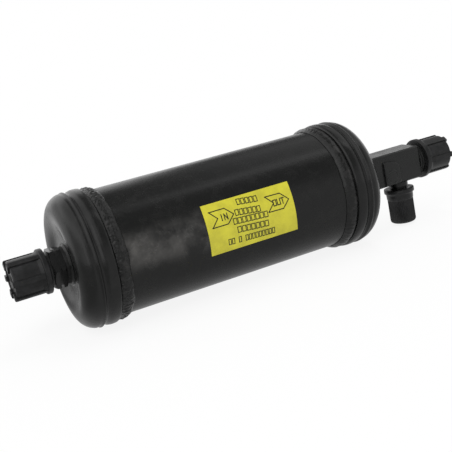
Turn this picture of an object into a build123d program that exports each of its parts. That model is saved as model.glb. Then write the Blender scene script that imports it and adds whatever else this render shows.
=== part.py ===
from build123d import *
import math
import os

os.makedirs("parts", exist_ok=True)

# In-line filter drier: a welded steel shell with two drawn heads, lying along X.
# Inlet fitting at -X, outlet block at +X with a service port below it.
# Every length is in millimetres; "station" is the distance from the middle of the shell.

# ---- clearances ----
seat_gap = 0.05  # between faces that bear on each other inside one welded assembly
move_gap = 0.3  # between pieces that move past each other
pin_gap = 0.08  # radial running clearance of the valve core pin

# ---- shell ----
shell_radius = 38.1
shell_wall = 2.0
shell_length = 168.0

# ---- drawn heads ----
skirt_overlap = 4.8
lip_thickness = 2.85
lip_length = 7.3
groove_depth = 1.1
groove_length = 1.1
groove_slope = 0.5
ridge_slope = 0.8
ridge_length = 0.9
ridge_drop = 0.4
knuckle_radius = 10.4
head_wall = 3.0
dish_depth = 3.0
dish_floor_radius = 14.0
port_hole_radius = 9.6
lip_round = 1.0

# ---- seam welds ----
seam_length = 8.15
seam_height = 2.35
seam_heel_height = 1.1

# ---- port threads (3/4-16 UNF) and their bores ----
port_thread_radius = 9.525
flow_bore_radius = 4.8
pilot_bore_radius = 6.4
pilot_bore_depth = 10.0
spigot_length = 6.0
nose_chamfer = 0.8

# ---- inlet fitting ----
inlet_collar_radius = 11.2
inlet_collar_length = 3.1
hex_across_flats = 22.2
hex_length = 7.5
hex_groove_depth = 0.5
hex_groove_length = 1.5
hex_chamfer_angle = 30.0
inlet_weld_leg = 1.2

# ---- outlet block ----
block_width = 18.0
block_height = 21.8
block_length = 54.75
block_chamfer = 0.8
block_weld_leg = 1.6
block_weld_lift = 0.25
block_weld_toe = 0.2

# ---- plug in the front face of the block ----
plug_station = 126.9
plug_drop = 4.8
plug_radius = 4.3
plug_depth = 2.4
plug_proud = 0.2
plug_ring_radius = 2.8
plug_ring_width = 0.7
plug_ring_depth = 0.4
pad_height = 1.0
pad_length = 12.6
pad_rise = 6.2
pad_start = 24.1
pad_corner = 3.0
pad_slope = 1.2
pad_outline_round = 1.0
pad_edge_round = 0.5

# ---- dust caps on the two ports ----
cap_length = 21.0
cap_flange_radius = 13.4
cap_flange_length = 3.2
cap_body_radius = 11.5
cap_root_radius = 12.3
cap_root_length = 2.2
cap_engagement = 14.0
cap_rib_count = 6
cap_rib_width = 3.2
cap_rib_radius = 12.4
cap_rib_proud = 1.0
cap_rib_inner_radius = 7.4
cap_rib_round = 1.1
cap_rib_sink = 0.5
cap_edge_round = 0.9
cap_end_recess = 2.5
cap_recess_radius = 8.8
cap_dimple_radius = 2.2
cap_dimple_depth = 1.0
inlet_cap_standoff = 2.0
outlet_cap_standoff = 3.5
outlet_cap_turn = 5.0

# ---- seals inside the caps ----
seal_thickness = 1.2
seal_inner_radius = 6.9
service_seal_inner_radius = 4.2

# ---- service port (7/16-20 UNF) ----
service_station = 137.5
service_root_radius = 6.6
service_root_length = 3.0
service_thread_radius = 5.55
service_mouth_radius = 3.0
service_mouth_depth = 5.0
service_core_radius = 2.65
service_passage_radius = 1.6

# ---- service cap ----
service_cap_standoff = 5.0
service_cap_length = 23.9
service_cap_flange_radius = 10.2
service_cap_flange_length = 3.0
service_cap_collar_radius = 9.1
service_cap_collar_length = 7.5
service_cap_radius = 8.7
service_cap_engagement = 19.5
service_cap_round = 1.6

# ---- valve core ----
core_length = 8.0
core_wall = 1.0
core_recess = 3.3
core_pin_radius = 0.7
core_button_radius = 1.3
core_button_length = 1.0
core_pin_proud = 3.0
core_pin_travel = 1.3
core_headroom = 0.5
core_seal_radius = 1.9
core_seal_thickness = 1.2
core_spring_wire = 0.35
core_spring_turns = 4
core_spring_gap = 0.15

# ---- desiccant bed and what holds it ----
bed_length = 96.0
bed_gap = 0.4
outlet_chamber = 20.7
pad_thickness = 5.0
plate_thickness = 1.2
plate_hole_radius = 1.6
plate_skirt_wall = 1.2
plate_ring_counts = [8, 14, 18]
plate_ring_shares = [0.336, 0.616, 0.854]  # of the bed's radius
bed_spring_wire = 1.6
bed_spring_small_radius = 13.5
bed_spring_large_radius = 31.0
bed_spring_turns = 3
strainer_radius = 7.6
strainer_wall = 0.5
strainer_length = 12.0
strainer_rim = 2.6

# ---- flow label ----
label_length = 58.1
label_centre = 6.55
label_upper_angle = 28.1
label_lower_angle = 17.8
label_thickness = 0.12

# ---- stations worked out from the sizes above ----
shell_end = shell_length / 2
skirt_mouth = shell_end - skirt_overlap
skirt_bore = shell_radius + seat_gap
lip_radius = skirt_bore + lip_thickness
lip_end = skirt_mouth + lip_length
groove_radius = lip_radius - groove_depth
groove_start = lip_end + groove_slope
groove_end = groove_start + groove_length
ridge_radius = lip_radius - ridge_drop
ridge_start = groove_end + ridge_slope
knuckle_start = ridge_start + ridge_length
knuckle_centre = ridge_radius - knuckle_radius
crest = knuckle_start + knuckle_radius
face = crest - dish_depth
inner_face = face - head_wall
head_bore = ridge_radius - head_wall

# The dish is two equal arcs that meet halfway between the crest and the flat floor.
dish_run = knuckle_centre - dish_floor_radius
dish_turn = 2 * math.degrees(math.atan(dish_depth / dish_run))
dish_radius = dish_run / (2 * math.sin(math.radians(dish_turn)))

# Local plane of the inlet side: local x runs outward along -X, local y is the radius.
inlet_plane = Plane(origin=(0, 0, 0), x_dir=(-1, 0, 0), z_dir=(0, 0, -1))
inlet_axis = Axis.X

# ================= shell =================

with BuildPart() as shell_tube:
    with BuildSketch(Plane.YZ.offset(-shell_end)):
        Circle(shell_radius)
        Circle(shell_radius - shell_wall, mode=Mode.SUBTRACT)
    extrude(amount=shell_length)
shell_tube.part.label = "shell_tube"
export_step(shell_tube.part, "parts/shell_tube.step")

# ================= drawn heads =================

with BuildPart() as outlet_head:
    with BuildSketch(Plane.XY):
        with BuildLine():
            band = FilletPolyline(
                (skirt_mouth, skirt_bore),
                (skirt_mouth, lip_radius),
                (lip_end, lip_radius),
                (groove_start, groove_radius),
                (groove_end, groove_radius),
                (ridge_start, ridge_radius),
                (knuckle_start, ridge_radius),
                radius=[lip_round, lip_round * 0.7, 0.3, 0.3, 0.3],
            )
            knuckle = JernArc(band @ 1, (1, 0), knuckle_radius, -90)
            dish_top = JernArc(knuckle @ 1, (0, -1), dish_radius, -dish_turn)
            dish_low = JernArc(dish_top @ 1, dish_top % 1, dish_radius, dish_turn)
            floor_line = Line(dish_low @ 1, (face, port_hole_radius))
            hole_line = Line(floor_line @ 1, (inner_face, port_hole_radius))
            back_line = Line(hole_line @ 1, (inner_face, dish_floor_radius))
            back_low = JernArc(back_line @ 1, (0, 1), dish_radius, -dish_turn)
            back_top = JernArc(back_low @ 1, back_low % 1, dish_radius, dish_turn)
            inner_knuckle = JernArc(back_top @ 1, (0, 1), knuckle_radius - head_wall, 90)
            wall_line = Line(inner_knuckle @ 1, (shell_end + seat_gap, head_bore))
            stop_line = Line(wall_line @ 1, (shell_end + seat_gap, skirt_bore))
            Line(stop_line @ 1, band @ 0)
        make_face()
    revolve(axis=Axis.X)
outlet_head.part.label = "outlet_head"
export_step(outlet_head.part, "parts/outlet_head.step")

with BuildPart() as inlet_head:
    mirror(outlet_head.part, about=Plane.YZ)
inlet_head.part.label = "inlet_head"
export_step(inlet_head.part, "parts/inlet_head.step")

# ================= seam welds =================

seam_heel = skirt_mouth - seat_gap
seam_toe = seam_heel - seam_length

with BuildPart() as outlet_seam_weld:
    with BuildSketch(Plane.XY):
        with BuildLine():
            bead = ThreePointArc(
                (seam_toe, skirt_bore),
                (seam_toe + seam_length * 0.62, skirt_bore + seam_height),
                (seam_heel, skirt_bore + seam_heel_height),
            )
            heel_line = Line(bead @ 1, (seam_heel, skirt_bore))
            Line(heel_line @ 1, bead @ 0)
        make_face()
    revolve(axis=Axis.X)
outlet_seam_weld.part.label = "outlet_seam_weld"
export_step(outlet_seam_weld.part, "parts/outlet_seam_weld.step")

with BuildPart() as inlet_seam_weld:
    mirror(outlet_seam_weld.part, about=Plane.YZ)
inlet_seam_weld.part.label = "inlet_seam_weld"
export_step(inlet_seam_weld.part, "parts/inlet_seam_weld.step")

# ================= inlet fitting =================

port_seat = face + seat_gap
spigot_radius = port_hole_radius - seat_gap
inlet_hex_start = port_seat + inlet_collar_length
inlet_hex_end = inlet_hex_start + hex_length
inlet_thread_length = inlet_cap_standoff + cap_engagement
inlet_nose = inlet_hex_end + inlet_thread_length
hex_radius = hex_across_flats / 2
hex_corner_radius = hex_radius / math.cos(math.radians(30))
hex_chamfer = (hex_corner_radius - hex_radius) * math.tan(math.radians(hex_chamfer_angle))
hex_middle = inlet_hex_start + hex_length / 2

with BuildPart() as inlet_fitting:
    with BuildSketch(Plane.YZ.offset(-inlet_hex_end)):
        RegularPolygon(hex_radius, 6, major_radius=False)
    extrude(amount=hex_length)
    with BuildSketch(inlet_plane):
        with BuildLine():
            Polyline(
                (inlet_hex_start, 0),
                (inlet_hex_start, hex_radius),
                (inlet_hex_start + hex_chamfer, hex_corner_radius),
                (hex_middle - hex_groove_length / 2, hex_corner_radius),
                (hex_middle - hex_groove_length / 2, hex_radius - hex_groove_depth),
                (hex_middle + hex_groove_length / 2, hex_radius - hex_groove_depth),
                (hex_middle + hex_groove_length / 2, hex_corner_radius),
                (inlet_hex_end - hex_chamfer, hex_corner_radius),
                (inlet_hex_end, hex_radius),
                (inlet_hex_end, 0),
                close=True,
            )
        make_face()
    revolve(axis=inlet_axis, mode=Mode.INTERSECT)
    with BuildSketch(inlet_plane):
        with BuildLine():
            Polyline(
                (port_seat - spigot_length, 0),
                (port_seat - spigot_length, spigot_radius),
                (port_seat, spigot_radius),
                (port_seat, inlet_collar_radius),
                (inlet_hex_start + hex_chamfer, inlet_collar_radius - hex_groove_depth),
                (inlet_hex_end - hex_chamfer, port_thread_radius),
                (inlet_nose - nose_chamfer, port_thread_radius),
                (inlet_nose, port_thread_radius - nose_chamfer),
                (inlet_nose, 0),
                close=True,
            )
        make_face()
    revolve(axis=inlet_axis)
    with BuildSketch(Plane.YZ.offset(-inlet_nose)):
        Circle(pilot_bore_radius)
    extrude(amount=pilot_bore_depth, mode=Mode.SUBTRACT)
    with BuildSketch(Plane.YZ.offset(-inlet_nose)):
        Circle(flow_bore_radius)
    extrude(amount=inlet_nose, mode=Mode.SUBTRACT)
inlet_fitting.part.label = "inlet_fitting"
export_step(inlet_fitting.part, "parts/inlet_fitting.step")

with BuildPart() as inlet_fitting_weld:
    with BuildSketch(inlet_plane):
        with BuildLine():
            Polyline(
                (port_seat, inlet_collar_radius + seat_gap),
                (port_seat, inlet_collar_radius + inlet_weld_leg),
                (port_seat + inlet_weld_leg, inlet_collar_radius + seat_gap),
                close=True,
            )
        make_face()
    revolve(axis=inlet_axis)
inlet_fitting_weld.part.label = "inlet_fitting_weld"
export_step(inlet_fitting_weld.part, "parts/inlet_fitting_weld.step")

# ================= outlet block =================

block_end = port_seat + block_length
outlet_thread_length = outlet_cap_standoff + cap_engagement
service_length = service_cap_standoff + service_cap_engagement
outlet_nose = block_end + outlet_thread_length
service_base = -block_height / 2
service_nose = service_base - service_length
pad_front = -block_width / 2 - pad_height
pad_middle = port_seat + pad_start + pad_length / 2
pad_floor = -block_height / 2 + block_chamfer

with BuildPart() as outlet_block:
    with BuildSketch(Plane.YZ.offset(port_seat)):
        Rectangle(block_width, block_height)
    extrude(amount=block_length)
    long_edges = outlet_block.edges().filter_by(Axis.X)
    end_edges = outlet_block.faces().sort_by(Axis.X)[-1].edges()
    chamfer(long_edges + end_edges, length=block_chamfer)
    with BuildSketch(Plane.XZ.offset(block_width / 2)):
        with BuildLine():
            pad_outline = FilletPolyline(
                (pad_middle - pad_length / 2, pad_floor),
                (pad_middle - pad_length / 2, pad_rise),
                (pad_middle + pad_length / 2 - pad_corner, pad_rise - pad_slope),
                (pad_middle + pad_length / 2, pad_rise - pad_corner - pad_slope),
                (pad_middle + pad_length / 2, pad_floor),
                radius=[pad_outline_round, pad_outline_round, pad_outline_round],
            )
            Line(pad_outline @ 1, pad_outline @ 0)
        make_face()
    extrude(amount=pad_height)
    pad_edges = outlet_block.faces().sort_by(Axis.Y)[0].edges()
    fillet(pad_edges, radius=pad_edge_round)
    with BuildSketch(Plane.YZ.offset(port_seat - spigot_length)):
        Circle(spigot_radius)
    extrude(amount=spigot_length)
    with BuildSketch(Plane.YZ.offset(block_end)):
        Circle(port_thread_radius)
    extrude(amount=outlet_thread_length)
    nose_edge = outlet_block.faces().sort_by(Axis.X)[-1].edges()
    chamfer(nose_edge, length=nose_chamfer)
    with BuildSketch(Plane.YZ.offset(outlet_nose)):
        Circle(pilot_bore_radius)
    extrude(amount=-pilot_bore_depth, mode=Mode.SUBTRACT)
    with BuildSketch(Plane.YZ.offset(outlet_nose)):
        Circle(flow_bore_radius)
    extrude(amount=-(outlet_nose - port_seat + spigot_length), mode=Mode.SUBTRACT)
    with BuildSketch(Plane.XY.offset(service_base)):
        with Locations((service_station, 0)):
            Circle(service_passage_radius)
    extrude(amount=block_height / 2, mode=Mode.SUBTRACT)
    with BuildSketch(Plane.XZ.offset(-pad_front)):
        with Locations((plug_station, -plug_drop)):
            Circle(plug_radius + seat_gap)
    extrude(amount=-(plug_depth + seat_gap), mode=Mode.SUBTRACT)
outlet_block.part.label = "outlet_block"
export_step(outlet_block.part, "parts/outlet_block.step")

with BuildPart() as outlet_block_weld:
    with BuildSketch(Plane.YZ.offset(port_seat + block_weld_lift)):
        RectangleRounded(
            block_width + 2 * block_weld_leg,
            block_height + 2 * block_weld_leg,
            block_weld_leg,
        )
    with BuildSketch(Plane.YZ.offset(port_seat + block_weld_lift + block_weld_leg)):
        RectangleRounded(
            block_width + 2 * seat_gap + 2 * block_weld_toe,
            block_height + 2 * seat_gap + 2 * block_weld_toe,
            block_weld_toe,
        )
    loft(ruled=True)
    with BuildSketch(Plane.YZ.offset(port_seat)):
        Rectangle(block_width + 2 * seat_gap, block_height + 2 * seat_gap)
    extrude(amount=block_length, mode=Mode.SUBTRACT)
outlet_block_weld.part.label = "outlet_block_weld"
export_step(outlet_block_weld.part, "parts/outlet_block_weld.step")

with BuildPart() as block_plug:
    with BuildSketch(Plane.XZ.offset(-pad_front + plug_proud)):
        with Locations((plug_station, -plug_drop)):
            Circle(plug_radius)
    extrude(amount=-(plug_depth + plug_proud))
    with BuildSketch(Plane.XZ.offset(-pad_front + plug_proud)):
        with Locations((plug_station, -plug_drop)):
            Circle(plug_ring_radius)
            Circle(plug_ring_radius - plug_ring_width, mode=Mode.SUBTRACT)
    extrude(amount=-plug_ring_depth, mode=Mode.SUBTRACT)
block_plug.part.label = "block_plug"
export_step(block_plug.part, "parts/block_plug.step")

# ================= service port =================

core_bore_start = service_nose + service_mouth_depth
core_bottom = core_bore_start + core_recess
core_stack = core_length + move_gap + core_seal_thickness
service_core_depth = core_recess + core_stack + core_pin_travel + core_headroom
core_radius = service_core_radius - seat_gap
service_seat = service_base - seat_gap

with BuildPart() as service_port:
    with BuildSketch(Plane.XY.offset(service_nose)):
        with Locations((service_station, 0)):
            Circle(service_thread_radius)
    extrude(amount=service_seat - service_nose)
    with BuildSketch(Plane.XY.offset(service_seat - service_root_length)):
        with Locations((service_station, 0)):
            Circle(service_root_radius)
    extrude(amount=service_root_length)
    nose_edge = service_port.faces().sort_by(Axis.Z)[0].edges()
    chamfer(nose_edge, length=nose_chamfer / 2)
    with BuildSketch(Plane.XY.offset(service_nose)):
        with Locations((service_station, 0)):
            Circle(service_mouth_radius)
    extrude(amount=service_mouth_depth, mode=Mode.SUBTRACT)
    with BuildSketch(Plane.XY.offset(core_bore_start)):
        with Locations((service_station, 0)):
            Circle(service_core_radius)
    extrude(amount=service_core_depth, mode=Mode.SUBTRACT)
    with BuildSketch(Plane.XY.offset(service_nose)):
        with Locations((service_station, 0)):
            Circle(service_passage_radius)
    extrude(amount=service_length, mode=Mode.SUBTRACT)
service_port.part.label = "service_port"
export_step(service_port.part, "parts/service_port.step")

# ================= valve core =================

core_bore = core_pin_radius + pin_gap
pin_bottom = core_bottom - core_pin_proud
pin_top = core_bottom + core_length + move_gap
core_plane = Plane.XY.offset(core_bottom)

with BuildPart() as valve_core_body:
    with BuildSketch(core_plane):
        with Locations((service_station, 0)):
            Circle(core_radius)
            Circle(core_bore, mode=Mode.SUBTRACT)
    extrude(amount=core_length)
    with BuildSketch(core_plane):
        with Locations((service_station, 0)):
            Circle(core_radius - core_wall)
    extrude(amount=core_wall, mode=Mode.SUBTRACT)
valve_core_body.part.label = "valve_core_body"
export_step(valve_core_body.part, "parts/valve_core_body.step")

with BuildPart() as valve_core_pin:
    with BuildSketch(Plane.XY.offset(pin_bottom)):
        with Locations((service_station, 0)):
            Circle(core_pin_radius)
    extrude(amount=pin_top - pin_bottom + core_seal_thickness)
    with BuildSketch(Plane.XY.offset(pin_bottom)):
        with Locations((service_station, 0)):
            Circle(core_button_radius)
    extrude(amount=core_button_length)
valve_core_pin.part.label = "valve_core_pin"
export_step(valve_core_pin.part, "parts/valve_core_pin.step")

with BuildPart() as valve_core_seal:
    with BuildSketch(Plane.XY.offset(pin_top)):
        with Locations((service_station, 0)):
            Circle(core_seal_radius)
            Circle(core_pin_radius + seat_gap, mode=Mode.SUBTRACT)
    extrude(amount=core_seal_thickness)
valve_core_seal.part.label = "valve_core_seal"
export_step(valve_core_seal.part, "parts/valve_core_seal.step")

core_spring_radius = core_pin_radius + core_spring_wire / 2 + core_spring_gap
core_spring_start = pin_bottom + core_button_length + core_spring_wire / 2 + seat_gap
core_spring_end = core_bottom + core_wall - core_spring_wire / 2 - seat_gap
core_spring_height = core_spring_end - core_spring_start

with BuildPart() as valve_core_spring:
    with BuildLine():
        spring_path = Helix(
            pitch=core_spring_height / core_spring_turns,
            height=core_spring_height,
            radius=core_spring_radius,
            center=(service_station, 0, core_spring_start),
        )
    with BuildSketch(Plane(origin=spring_path @ 0, z_dir=spring_path % 0)):
        Circle(core_spring_wire / 2)
    sweep(path=spring_path, is_frenet=True)
valve_core_spring.part.label = "valve_core_spring"
export_step(valve_core_spring.part, "parts/valve_core_spring.step")

# ================= dust caps =================

cap_bore_radius = port_thread_radius + move_gap
cap_bore_depth = cap_engagement + move_gap + seal_thickness + 2 * seat_gap
cap_end = cap_length + cap_rib_proud

cap_floor = cap_length - cap_end_recess
cap_rib_root = (cap_bore_radius + cap_body_radius) / 2
cap_rib_start = cap_flange_length - cap_rib_sink
cap_rib_foot = cap_floor - cap_rib_sink

# The grip ribs run from the flange over the end face, with rounded noses.
with BuildPart() as cap_ribs:
    with BuildSketch(Plane.YZ.offset(cap_rib_start)):
        with PolarLocations((cap_rib_radius + cap_rib_inner_radius) / 2, cap_rib_count):
            Rectangle(cap_rib_radius - cap_rib_inner_radius + 2 * cap_rib_sink, cap_rib_width)
    extrude(amount=cap_end - cap_rib_start + cap_rib_sink)
    with BuildSketch(Plane.XY):
        with BuildLine():
            rib_skin = FilletPolyline(
                (cap_rib_start, cap_rib_radius),
                (cap_end, cap_rib_radius),
                (cap_end, cap_rib_inner_radius),
                (cap_rib_foot, cap_rib_inner_radius),
                radius=[cap_rib_round, cap_rib_round / 2],
            )
            Polyline(
                rib_skin @ 1,
                (cap_rib_foot, cap_rib_root),
                (cap_rib_start, cap_rib_root),
                rib_skin @ 0,
            )
        make_face()
    revolve(axis=Axis.X, mode=Mode.INTERSECT)

# One moulding serves both ports; it is drawn with its open end at the origin, along +X.
with BuildPart() as dust_cap:
    with BuildSketch(Plane.XY):
        with BuildLine():
            cap_skin = FilletPolyline(
                (0, cap_bore_radius),
                (0, cap_flange_radius),
                (cap_flange_length, cap_flange_radius),
                (cap_flange_length, cap_root_radius),
                (cap_flange_length + cap_root_length, cap_body_radius),
                (cap_length, cap_body_radius),
                (cap_length, cap_recess_radius),
                (cap_floor, cap_recess_radius),
                radius=[0.5, 0.7, 0.3, 0.8, cap_edge_round, cap_edge_round / 2],
            )
            Polyline(
                cap_skin @ 1,
                (cap_floor, cap_dimple_radius),
                (cap_floor - cap_dimple_depth, 0),
                (cap_bore_depth, 0),
                (cap_bore_depth, cap_bore_radius),
                cap_skin @ 0,
            )
        make_face()
    revolve(axis=Axis.X)
    add(cap_ribs.part)

inlet_cap_mouth = inlet_hex_end + inlet_cap_standoff
outlet_cap_mouth = block_end + outlet_cap_standoff

with BuildPart() as inlet_cap:
    with Locations(Location((-inlet_cap_mouth, 0, 0), (0, 0, 180))):
        add(dust_cap.part)
inlet_cap.part.label = "inlet_cap"
export_step(inlet_cap.part, "parts/inlet_cap.step")

with BuildPart() as outlet_cap:
    with Locations(Location((outlet_cap_mouth, 0, 0), (outlet_cap_turn, 0, 0))):
        add(dust_cap.part)
outlet_cap.part.label = "outlet_cap"
export_step(outlet_cap.part, "parts/outlet_cap.step")

cap_seal_radius = cap_bore_radius - move_gap
inlet_cap_bottom = inlet_cap_mouth + cap_bore_depth - 2 * seat_gap
outlet_cap_bottom = outlet_cap_mouth + cap_bore_depth - 2 * seat_gap

with BuildPart() as inlet_cap_seal:
    with BuildSketch(Plane.YZ.offset(-inlet_cap_bottom)):
        Circle(cap_seal_radius)
        Circle(seal_inner_radius, mode=Mode.SUBTRACT)
    extrude(amount=seal_thickness)
inlet_cap_seal.part.label = "inlet_cap_seal"
export_step(inlet_cap_seal.part, "parts/inlet_cap_seal.step")

with BuildPart() as outlet_cap_seal:
    with BuildSketch(Plane.YZ.offset(outlet_cap_bottom)):
        Circle(cap_seal_radius)
        Circle(seal_inner_radius, mode=Mode.SUBTRACT)
    extrude(amount=-seal_thickness)
outlet_cap_seal.part.label = "outlet_cap_seal"
export_step(outlet_cap_seal.part, "parts/outlet_cap_seal.step")

# ================= service cap =================

service_cap_mouth = service_base - service_cap_standoff
service_cap_bottom = service_cap_mouth - service_cap_length
service_cap_bore = service_thread_radius + move_gap
service_cap_bore_depth = service_cap_engagement + move_gap + seal_thickness + 2 * seat_gap
service_cap_plane = Plane(origin=(service_station, 0, service_cap_mouth), x_dir=(0, 0, -1), z_dir=(0, 1, 0))
service_cap_axis = Axis((service_station, 0, 0), (0, 0, 1))

with BuildPart() as service_cap:
    with BuildSketch(service_cap_plane):
        with BuildLine():
            skin = FilletPolyline(
                (0, service_cap_bore),
                (0, service_cap_flange_radius),
                (service_cap_flange_length, service_cap_flange_radius),
                (service_cap_flange_length, service_cap_collar_radius),
                (service_cap_collar_length, service_cap_radius),
                (service_cap_length, service_cap_radius),
                (service_cap_length, 0),
                radius=[0.5, 0.9, 0.5, 0.3, service_cap_round],
            )
            axis_line = Line(skin @ 1, (service_cap_bore_depth, 0))
            bottom_line = Line(axis_line @ 1, (service_cap_bore_depth, service_cap_bore))
            Line(bottom_line @ 1, skin @ 0)
        make_face()
    revolve(axis=service_cap_axis)
service_cap.part.label = "service_cap"
export_step(service_cap.part, "parts/service_cap.step")

with BuildPart() as service_cap_seal:
    with BuildSketch(Plane.XY.offset(service_cap_mouth - service_cap_bore_depth + 2 * seat_gap)):
        with Locations((service_station, 0)):
            Circle(service_cap_bore - move_gap)
            Circle(service_seal_inner_radius, mode=Mode.SUBTRACT)
    extrude(amount=seal_thickness)
service_cap_seal.part.label = "service_cap_seal"
export_step(service_cap_seal.part, "parts/service_cap_seal.step")

# ================= desiccant bed =================

bed_radius = shell_radius - shell_wall - bed_gap
outlet_plate_seat = shell_end - outlet_chamber - plate_thickness
bed_end = outlet_plate_seat - pad_thickness - 2 * seat_gap
bed_start = bed_end - bed_length

with BuildPart() as desiccant_bed:
    with BuildSketch(Plane.YZ.offset(bed_start)):
        Circle(bed_radius)
    extrude(amount=bed_length)
desiccant_bed.part.label = "desiccant_bed"
export_step(desiccant_bed.part, "parts/desiccant_bed.step")

with BuildPart() as inlet_filter_pad:
    with BuildSketch(Plane.YZ.offset(bed_start - seat_gap)):
        Circle(bed_radius)
    extrude(amount=-pad_thickness)
inlet_filter_pad.part.label = "inlet_filter_pad"
export_step(inlet_filter_pad.part, "parts/inlet_filter_pad.step")

with BuildPart() as outlet_filter_pad:
    with BuildSketch(Plane.YZ.offset(bed_end + seat_gap)):
        Circle(bed_radius)
    extrude(amount=pad_thickness)
outlet_filter_pad.part.label = "outlet_filter_pad"
export_step(outlet_filter_pad.part, "parts/outlet_filter_pad.step")

inlet_plate_seat = bed_start - pad_thickness - 2 * seat_gap

# The outlet plate is a cup whose skirt bears on the inside of the head's knuckle.
inner_knuckle_radius = knuckle_radius - head_wall
skirt_rise = bed_radius - knuckle_centre
skirt_end = knuckle_start + math.sqrt(inner_knuckle_radius**2 - skirt_rise**2) - seat_gap

with BuildPart() as inlet_perforated_plate:
    with BuildSketch(Plane.YZ.offset(inlet_plate_seat)):
        Circle(bed_radius)
        Circle(plate_hole_radius, mode=Mode.SUBTRACT)
        for hole_count, ring_share in zip(plate_ring_counts, plate_ring_shares):
            with PolarLocations(bed_radius * ring_share, round(hole_count)):
                Circle(plate_hole_radius, mode=Mode.SUBTRACT)
    extrude(amount=-plate_thickness)
inlet_perforated_plate.part.label = "inlet_perforated_plate"
export_step(inlet_perforated_plate.part, "parts/inlet_perforated_plate.step")

with BuildPart() as outlet_perforated_plate:
    with BuildSketch(Plane.YZ.offset(outlet_plate_seat)):
        Circle(bed_radius)
        Circle(plate_hole_radius, mode=Mode.SUBTRACT)
        for hole_count, ring_share in zip(plate_ring_counts, plate_ring_shares):
            with PolarLocations(bed_radius * ring_share, round(hole_count)):
                Circle(plate_hole_radius, mode=Mode.SUBTRACT)
    extrude(amount=plate_thickness)
    with BuildSketch(Plane.YZ.offset(outlet_plate_seat)):
        Circle(bed_radius)
        Circle(bed_radius - plate_skirt_wall, mode=Mode.SUBTRACT)
    extrude(amount=skirt_end - outlet_plate_seat)
outlet_perforated_plate.part.label = "outlet_perforated_plate"
export_step(outlet_perforated_plate.part, "parts/outlet_perforated_plate.step")

spring_start = -inner_face + bed_spring_wire / 2 + seat_gap
spring_end = inlet_plate_seat - plate_thickness - bed_spring_wire / 2 - seat_gap
spring_height = spring_end - spring_start
spring_cone = math.degrees(
    math.atan((bed_spring_large_radius - bed_spring_small_radius) / spring_height)
)

with BuildPart() as bed_spring:
    with BuildLine():
        bed_spring_path = Helix(
            pitch=spring_height / bed_spring_turns,
            height=spring_height,
            radius=bed_spring_small_radius,
            center=(spring_start, 0, 0),
            direction=(1, 0, 0),
            cone_angle=spring_cone,
        )
    with BuildSketch(Plane(origin=bed_spring_path @ 0, z_dir=bed_spring_path % 0)):
        Circle(bed_spring_wire / 2)
    sweep(path=bed_spring_path, is_frenet=True)
bed_spring.part.label = "bed_spring"
export_step(bed_spring.part, "parts/bed_spring.step")

strainer_seat = inner_face - spigot_length + head_wall - seat_gap

with BuildPart() as strainer_screen:
    with BuildSketch(Plane.YZ.offset(strainer_seat)):
        Circle(strainer_radius)
        Circle(strainer_radius - strainer_wall, mode=Mode.SUBTRACT)
    extrude(amount=-strainer_length)
    with BuildSketch(Plane.YZ.offset(strainer_seat - strainer_length)):
        Circle(strainer_radius)
    extrude(amount=-strainer_wall)
    with BuildSketch(Plane.YZ.offset(strainer_seat)):
        Circle(strainer_radius + strainer_rim / 2)
        Circle(strainer_radius - strainer_rim, mode=Mode.SUBTRACT)
    extrude(amount=-strainer_wall)
strainer_screen.part.label = "strainer_screen"
export_step(strainer_screen.part, "parts/strainer_screen.step")

# ================= flow label =================

label_start = label_centre - label_length / 2
label_inner = shell_radius + seat_gap
label_outer = label_inner + label_thickness
label_sweep = label_upper_angle + label_lower_angle
label_low = (-math.cos(math.radians(label_lower_angle)), -math.sin(math.radians(label_lower_angle)))
label_high = (-math.cos(math.radians(label_upper_angle)), math.sin(math.radians(label_upper_angle)))

with BuildPart() as flow_label:
    with BuildSketch(Plane.YZ.offset(label_start)):
        with BuildLine():
            outer_arc = ThreePointArc(
                (label_outer * label_low[0], label_outer * label_low[1]),
                (-label_outer, 0),
                (label_outer * label_high[0], label_outer * label_high[1]),
            )
            inner_arc = ThreePointArc(
                (label_inner * label_low[0], label_inner * label_low[1]),
                (-label_inner, 0),
                (label_inner * label_high[0], label_inner * label_high[1]),
            )
            Line(outer_arc @ 0, inner_arc @ 0)
            Line(outer_arc @ 1, inner_arc @ 1)
        make_face()
    extrude(amount=label_length)
flow_label.part.label = "flow_label"
export_step(flow_label.part, "parts/flow_label.step")
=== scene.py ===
import logging
import math
from dataclasses import dataclass, field
from enum import Enum
from typing import Any, Dict, List, Optional, Sequence, Tuple, Union

import bmesh
import bpy
from mathutils import Euler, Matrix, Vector, noise


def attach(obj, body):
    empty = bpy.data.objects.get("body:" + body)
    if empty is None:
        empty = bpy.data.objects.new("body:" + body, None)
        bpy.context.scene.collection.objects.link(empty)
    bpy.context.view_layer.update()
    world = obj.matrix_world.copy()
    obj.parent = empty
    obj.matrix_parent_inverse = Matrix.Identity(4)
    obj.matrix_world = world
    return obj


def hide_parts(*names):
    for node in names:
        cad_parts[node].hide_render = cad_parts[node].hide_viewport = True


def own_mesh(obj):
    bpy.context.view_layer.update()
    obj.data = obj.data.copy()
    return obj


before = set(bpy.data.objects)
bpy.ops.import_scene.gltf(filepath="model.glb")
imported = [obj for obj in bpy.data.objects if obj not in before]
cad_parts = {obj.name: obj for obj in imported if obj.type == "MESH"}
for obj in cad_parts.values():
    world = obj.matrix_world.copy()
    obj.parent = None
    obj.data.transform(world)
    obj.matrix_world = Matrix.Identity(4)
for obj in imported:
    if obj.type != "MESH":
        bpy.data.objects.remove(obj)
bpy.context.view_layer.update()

LOG = logging.getLogger("filter_drier")

MM = 0.001
INCH = 25.4
SHELL_RADIUS = 38.1
WHITE = (1.0, 1.0, 1.0)

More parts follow.
